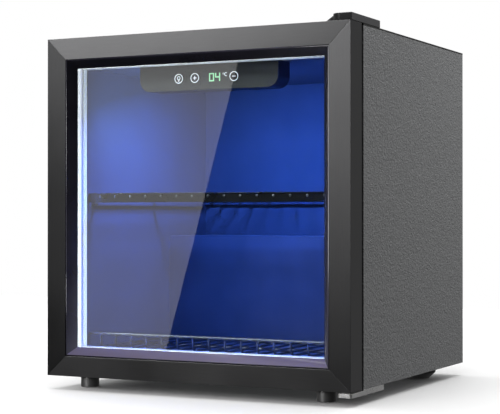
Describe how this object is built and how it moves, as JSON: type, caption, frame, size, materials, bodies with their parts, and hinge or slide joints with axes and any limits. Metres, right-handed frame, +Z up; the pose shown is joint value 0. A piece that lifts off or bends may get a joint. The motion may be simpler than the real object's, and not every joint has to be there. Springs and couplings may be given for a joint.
{
  "type": "mini fridge",
  "caption": "Compact glass-door fridge: insulated case, mitred metal door with double glazing, wire shelves, lit control box and rear compressor circuit.",
  "frame": {"origin": "on the floor, under the middle of the fridge's bounding box", "axes": "+Z up, +X towards the hinge side, the door faces -Y"},
  "size_m": [0.43, 0.44, 0.467],
  "materials": {
    "case_sheet": "satin",
    "top_sheet": "satin",
    "galvanised": "satin",
    "foam": "matte",
    "liner": "gloss",
    "black_plastic": "satin",
    "aluminium": "satin",
    "copper": "satin",
    "fascia": "satin",
    "display": "satin",
    "circuit_board": "satin",
    "lamp": "satin",
    "white_plastic": "satin",
    "shelf_wire": "satin",
    "shelf_rail": "satin",
    "hinge_steel": "satin",
    "brass": "satin",
    "rubber": "matte",
    "black_enamel": "satin",
    "door_metal": "satin",
    "bezel": "gloss",
    "glass": "polished"
  },
  "bodies": {
    "cabinet": {"side_panel_left": "case_sheet", "side_panel_right": "case_sheet", "top_panel": "top_sheet", "back_panel": "galvanised", "base_pan": "galvanised", "niche_wall": "galvanised", "niche_roof": "galvanised", "insulation_foam": "foam", "inner_liner": "liner", "throat_trim": "black_plastic", "evaporator_plate": "aluminium", "evaporator_coil": "copper", "control_housing": "black_plastic", "control_fascia": "fascia", "display_digits": "display", "circuit_boards": "circuit_board", "lamp_diffuser": "lamp", "temperature_probe": "white_plastic", "upper_shelf_wires": "shelf_wire", "upper_shelf_rail": "shelf_rail", "lower_rack_wires": "shelf_wire", "lower_rack_front": "shelf_wire", "top_hinge_plate": "hinge_steel", "top_hinge_screws": "hinge_steel", "top_hinge_cover": "black_plastic", "bottom_hinge_plate": "hinge_steel", "bottom_hinge_screws": "hinge_steel", "foot_inserts": "brass", "rear_feet": "black_plastic", "compressor_tray": "galvanised", "compressor_mounts": "rubber", "compressor_shell": "black_enamel", "compressor_relay_box": "black_plastic", "discharge_pipe": "copper", "suction_pipe": "copper", "filter_drier": "copper", "capillary_tube": "copper", "condenser_coil": "black_enamel", "condenser_wires": "black_enamel", "condenser_brackets": "black_enamel", "drip_tray": "black_plastic", "drain_tube": "white_plastic", "power_inlet": "black_plastic"},
    "door": {"door_top_rail": "door_metal", "door_bottom_rail": "door_metal", "door_stile_latch": "door_metal", "door_stile_hinge": "door_metal", "corner_keys": "aluminium", "door_bezel": "bezel", "glass_outer": "glass", "glass_inner": "glass", "glass_spacer": "aluminium", "door_inner_frame": "aluminium", "door_gasket": "rubber", "hinge_bushes": "white_plastic"},
    "light_button": {"button_light": "fascia"},
    "plus_button": {"button_plus": "fascia"},
    "minus_button": {"button_minus": "fascia"},
    "left_foot": {"foot_left": "black_plastic"},
    "right_foot": {"foot_right": "black_plastic"}
  },
  "joints": [
    {"name": "door_hinge", "type": "hinge", "parent": "cabinet", "child": "door", "pos_m": [0.203, -0.205, 0.24], "axis": [0, 0, 1], "range_deg": [0, 110]},
    {"name": "light_press", "type": "slide", "parent": "cabinet", "child": "light_button", "axis": [0, 1, 0], "range_m": [0, 0.0008], "stiffness_N_per_m": 400, "springref_m": -0.0012},
    {"name": "plus_press", "type": "slide", "parent": "cabinet", "child": "plus_button", "axis": [0, 1, 0], "range_m": [0, 0.0008], "stiffness_N_per_m": 400, "springref_m": -0.0012},
    {"name": "minus_press", "type": "slide", "parent": "cabinet", "child": "minus_button", "axis": [0, 1, 0], "range_m": [0, 0.0008], "stiffness_N_per_m": 400, "springref_m": -0.0012},
    {"name": "left_foot_screw", "type": "slide", "parent": "cabinet", "child": "left_foot", "axis": [0, 0, -1], "range_m": [0, 0.008]},
    {"name": "right_foot_screw", "type": "slide", "parent": "cabinet", "child": "right_foot", "axis": [0, 0, -1], "range_m": [0, 0.008]}
  ]
}
